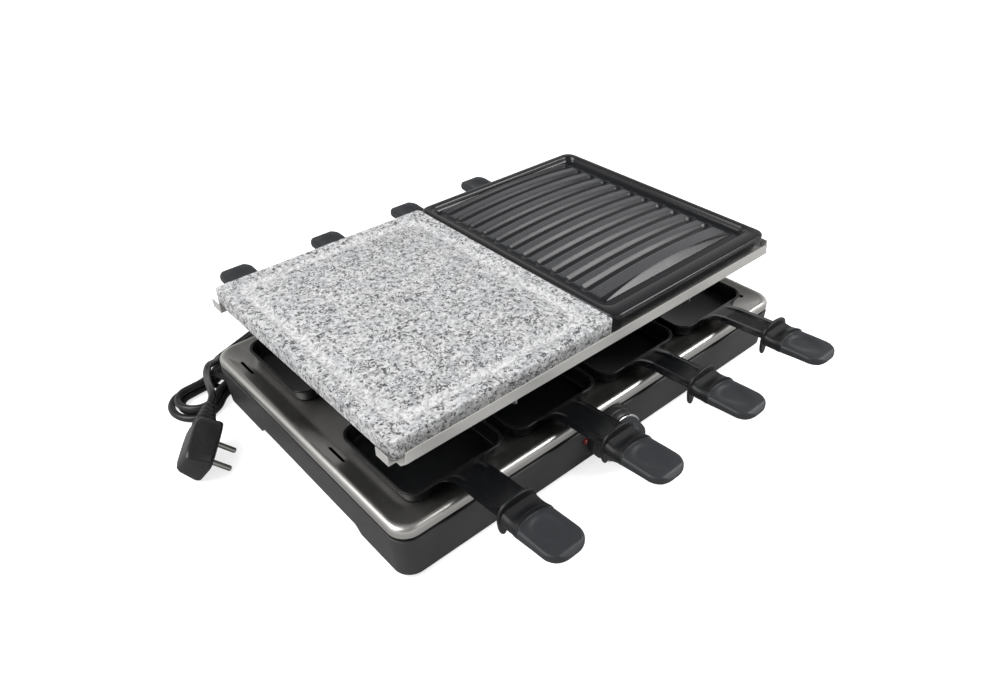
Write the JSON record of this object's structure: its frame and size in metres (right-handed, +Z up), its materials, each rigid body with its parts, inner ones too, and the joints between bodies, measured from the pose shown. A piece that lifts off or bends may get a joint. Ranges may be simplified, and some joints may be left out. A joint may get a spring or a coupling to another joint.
{
  "type": "raclette grill",
  "caption": "Table-top raclette grill: moulded base, steel tray, frame with a stone and a ribbed plate, small pans that pull out on both long sides, thermostat knob and corded plug.",
  "frame": {"origin": "on the table, under the middle of the base", "axes": "+Z up, +X along the long side with the stone at -X, -Y towards the side with the knob"},
  "size_m": [0.5298, 0.4912, 0.1257],
  "materials": {
    "granite": "polished",
    "cast_plate": "nonstick satin",
    "stainless": "bright",
    "chrome": "polished",
    "heater_steel": "dull",
    "screw_steel": "plain",
    "pan_coating": "nonstick satin",
    "base_plastic": "fine texture",
    "handle_plastic": "satin",
    "cord_plastic": "satin",
    "lens": "clear red",
    "rubber": "matt",
    "ceramic": "unglazed"
  },
  "bodies": {
    "base": {"base_housing": "base_plastic", "bottom_cover": "base_plastic", "cover_screw_1": "screw_steel", "cover_screw_2": "screw_steel", "cover_screw_3": "screw_steel", "cover_screw_4": "screw_steel", "rubber_foot_1": "rubber", "rubber_foot_2": "rubber", "rubber_foot_3": "rubber", "rubber_foot_4": "rubber", "reflector_tray": "stainless", "support_left": "stainless", "support_right": "stainless", "heating_element": "heater_steel", "terminal_block": "ceramic", "top_frame": "stainless", "thermostat": "ceramic", "knob_bezel": "base_plastic", "indicator_lens": "lens", "lamp_body": "ceramic", "cord_gland": "cord_plastic", "cord_lead": "cord_plastic", "cord_hank": "cord_plastic", "cord_tail": "cord_plastic", "cord_tie": "rubber", "plug_body": "cord_plastic", "plug_pin_1": "chrome", "plug_pin_2": "chrome"},
    "stone": {"granite_stone": "granite"},
    "plate": {"grill_plate": "cast_plate"},
    "knob": {"thermostat_knob": "handle_plastic", "knob_ring": "chrome", "thermostat_shaft": "screw_steel"},
    "pan_front_1": {"pan_1": "pan_coating", "pan_handle_1": "handle_plastic", "pan_screw_1": "screw_steel"},
    "pan_front_2": {"pan_2": "pan_coating", "pan_handle_2": "handle_plastic", "pan_screw_2": "screw_steel"},
    "pan_front_3": {"pan_3": "pan_coating", "pan_handle_3": "handle_plastic", "pan_screw_3": "screw_steel"},
    "pan_front_4": {"pan_4": "pan_coating", "pan_handle_4": "handle_plastic", "pan_screw_4": "screw_steel"},
    "pan_back_1": {"pan_5": "pan_coating", "pan_handle_5": "handle_plastic", "pan_screw_5": "screw_steel"},
    "pan_back_2": {"pan_6": "pan_coating", "pan_handle_6": "handle_plastic", "pan_screw_6": "screw_steel"},
    "pan_back_3": {"pan_7": "pan_coating", "pan_handle_7": "handle_plastic", "pan_screw_7": "screw_steel"},
    "pan_back_4": {"pan_8": "pan_coating", "pan_handle_8": "handle_plastic", "pan_screw_8": "screw_steel"}
  },
  "joints": [
    {"name": "stone_lift", "type": "slide", "parent": "base", "child": "stone", "axis": [0, 0, 1], "range_m": [0, 0.08]},
    {"name": "plate_lift", "type": "slide", "parent": "base", "child": "plate", "axis": [0, 0, 1], "range_m": [0, 0.08]},
    {"name": "knob_turn", "type": "hinge", "parent": "base", "child": "knob", "pos_m": [-0.0129, -0.16, 0.0263], "axis": [0, 1, 0], "range_deg": [0, 270]},
    {"name": "pan_1_out", "type": "slide", "parent": "base", "child": "pan_front_1", "axis": [0, -0.9272, 0.3746], "range_m": [0, 0.135]},
    {"name": "pan_2_out", "type": "slide", "parent": "base", "child": "pan_front_2", "axis": [0, -0.9272, 0.3746], "range_m": [0, 0.135]},
    {"name": "pan_3_out", "type": "slide", "parent": "base", "child": "pan_front_3", "axis": [0, -0.9272, 0.3746], "range_m": [0, 0.135]},
    {"name": "pan_4_out", "type": "slide", "parent": "base", "child": "pan_front_4", "axis": [0, -0.9272, 0.3746], "range_m": [0, 0.135]},
    {"name": "pan_5_out", "type": "slide", "parent": "base", "child": "pan_back_1", "axis": [0, 0.9272, 0.3746], "range_m": [0, 0.135]},
    {"name": "pan_6_out", "type": "slide", "parent": "base", "child": "pan_back_2", "axis": [0, 0.9272, 0.3746], "range_m": [0, 0.135]},
    {"name": "pan_7_out", "type": "slide", "parent": "base", "child": "pan_back_3", "axis": [0, 0.9272, 0.3746], "range_m": [0, 0.135]},
    {"name": "pan_8_out", "type": "slide", "parent": "base", "child": "pan_back_4", "axis": [0, 0.9272, 0.3746], "range_m": [0, 0.135]}
  ]
}
